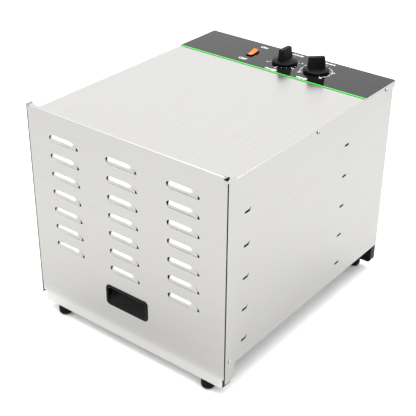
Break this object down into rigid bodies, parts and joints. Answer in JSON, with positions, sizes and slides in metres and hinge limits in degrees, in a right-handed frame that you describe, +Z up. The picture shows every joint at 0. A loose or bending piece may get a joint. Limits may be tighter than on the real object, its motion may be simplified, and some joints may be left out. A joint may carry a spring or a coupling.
{
  "type": "food dehydrator",
  "caption": "Benchtop food dehydrator: brushed steel box with a louvred lift-up door, recessed handle, wire trays on channel runners, rear fan and heater, and a control strip on the lid.",
  "frame": {"origin": "centre of the bounding box in X and Y, on the plane under the feet", "axes": "+Z up, -Y towards the user at the door, +X to the user's right; +Y is the longest extent"},
  "size_m": [0.4458, 0.5316, 0.4483],
  "materials": {
    "brushed_stainless": "brushed",
    "bright_wire": "polished",
    "black_plastic": "satin moulded",
    "foot_rubber": "matte",
    "overlay_film": "gloss printed film",
    "orange_lens": "gloss translucent",
    "grey_metal": "plain"
  },
  "bodies": {
    "cabinet": {"side_panel_left": "brushed_stainless", "side_panel_right": "brushed_stainless", "top_cover": "brushed_stainless", "base_pan": "brushed_stainless", "rear_panel": "brushed_stainless", "fan_bulkhead": "brushed_stainless", "front_apron": "brushed_stainless", "rear_apron": "brushed_stainless", "motor_bracket": "brushed_stainless", "runner_left_1": "brushed_stainless", "runner_left_2": "brushed_stainless", "runner_left_3": "brushed_stainless", "runner_left_4": "brushed_stainless", "runner_left_5": "brushed_stainless", "runner_right_1": "brushed_stainless", "runner_right_2": "brushed_stainless", "runner_right_3": "brushed_stainless", "runner_right_4": "brushed_stainless", "runner_right_5": "brushed_stainless", "lid_screw_left_1": "brushed_stainless", "lid_screw_left_2": "brushed_stainless", "lid_screw_right_1": "brushed_stainless", "lid_screw_right_2": "brushed_stainless", "fan_guard": "bright_wire", "front_base_bar": "black_plastic", "rear_leg_left": "black_plastic", "rear_leg_right": "black_plastic", "switch_body": "black_plastic", "cord_gland": "black_plastic", "front_foot_left": "foot_rubber", "front_foot_right": "foot_rubber", "rear_foot_left": "foot_rubber", "rear_foot_right": "foot_rubber", "control_overlay": "overlay_film", "fan_motor": "grey_metal", "timer_body": "grey_metal", "thermostat_body": "grey_metal", "heating_element": "grey_metal"},
    "door": {"door_panel": "brushed_stainless", "door_side_left": "brushed_stainless", "door_side_right": "brushed_stainless", "door_hinge_stud_left": "brushed_stainless", "door_hinge_stud_right": "brushed_stainless", "door_catch_left": "brushed_stainless", "door_catch_right": "brushed_stainless", "door_handle_cup": "black_plastic"},
    "rocker": {"switch_rocker": "orange_lens"},
    "timer": {"timer_knob": "black_plastic"},
    "thermostat": {"thermostat_knob": "black_plastic"},
    "fan": {"fan_blade": "black_plastic"},
    "tray_01_body": {"tray_01": "bright_wire"},
    "tray_02_body": {"tray_02": "bright_wire"},
    "tray_03_body": {"tray_03": "bright_wire"},
    "tray_04_body": {"tray_04": "bright_wire"},
    "tray_05_body": {"tray_05": "bright_wire"},
    "tray_06_body": {"tray_06": "bright_wire"},
    "tray_07_body": {"tray_07": "bright_wire"},
    "tray_08_body": {"tray_08": "bright_wire"},
    "tray_09_body": {"tray_09": "bright_wire"},
    "tray_10_body": {"tray_10": "bright_wire"}
  },
  "joints": [
    {"name": "door_hinge", "type": "hinge", "parent": "cabinet", "child": "door", "pos_m": [0, -0.2448, 0.411], "axis": [-1, 0, 0], "range_deg": [0, 90]},
    {"name": "tray_01_slide", "type": "slide", "parent": "cabinet", "child": "tray_01_body", "axis": [0, -1, 0], "range_m": [0, 0.33]},
    {"name": "tray_02_slide", "type": "slide", "parent": "cabinet", "child": "tray_02_body", "axis": [0, -1, 0], "range_m": [0, 0.33]},
    {"name": "tray_03_slide", "type": "slide", "parent": "cabinet", "child": "tray_03_body", "axis": [0, -1, 0], "range_m": [0, 0.33]},
    {"name": "tray_04_slide", "type": "slide", "parent": "cabinet", "child": "tray_04_body", "axis": [0, -1, 0], "range_m": [0, 0.33]},
    {"name": "tray_05_slide", "type": "slide", "parent": "cabinet", "child": "tray_05_body", "axis": [0, -1, 0], "range_m": [0, 0.33]},
    {"name": "tray_06_slide", "type": "slide", "parent": "cabinet", "child": "tray_06_body", "axis": [0, -1, 0], "range_m": [0, 0.33]},
    {"name": "tray_07_slide", "type": "slide", "parent": "cabinet", "child": "tray_07_body", "axis": [0, -1, 0], "range_m": [0, 0.33]},
    {"name": "tray_08_slide", "type": "slide", "parent": "cabinet", "child": "tray_08_body", "axis": [0, -1, 0], "range_m": [0, 0.33]},
    {"name": "tray_09_slide", "type": "slide", "parent": "cabinet", "child": "tray_09_body", "axis": [0, -1, 0], "range_m": [0, 0.33]},
    {"name": "tray_10_slide", "type": "slide", "parent": "cabinet", "child": "tray_10_body", "axis": [0, -1, 0], "range_m": [0, 0.33]},
    {"name": "power_rocker", "type": "hinge", "parent": "cabinet", "child": "rocker", "pos_m": [-0.073, 0.2062, 0.4194], "axis": [-1, 0, 0], "range_deg": [0, 20]},
    {"name": "timer_turn", "type": "hinge", "parent": "cabinet", "child": "timer", "pos_m": [0.004, 0.2062, 0.4188], "axis": [0, 0, -1], "range_deg": [0, 300]},
    {"name": "thermostat_turn", "type": "hinge", "parent": "cabinet", "child": "thermostat", "pos_m": [0.076, 0.2062, 0.4188], "axis": [0, 0, -1], "range_deg": [0, 270]},
    {"name": "fan_spin", "type": "hinge", "parent": "cabinet", "child": "fan", "pos_m": [0, 0.1502, 0.2365], "axis": [0, 1, 0], "continuous": true}
  ],
  "couplings": [
    {"joint": "tray_01_slide", "follows": "door_hinge", "m_per_rad": 0.18},
    {"joint": "tray_02_slide", "follows": "door_hinge", "m_per_rad": 0.1622},
    {"joint": "tray_03_slide", "follows": "door_hinge", "m_per_rad": 0.1444},
    {"joint": "tray_04_slide", "follows": "door_hinge", "m_per_rad": 0.1266},
    {"joint": "tray_05_slide", "follows": "door_hinge", "m_per_rad": 0.1088},
    {"joint": "tray_06_slide", "follows": "door_hinge", "m_per_rad": 0.091},
    {"joint": "tray_07_slide", "follows": "door_hinge", "m_per_rad": 0.0732},
    {"joint": "tray_08_slide", "follows": "door_hinge", "m_per_rad": 0.0554},
    {"joint": "tray_09_slide", "follows": "door_hinge", "m_per_rad": 0.0376},
    {"joint": "tray_10_slide", "follows": "door_hinge", "m_per_rad": 0.0198}
  ]
}
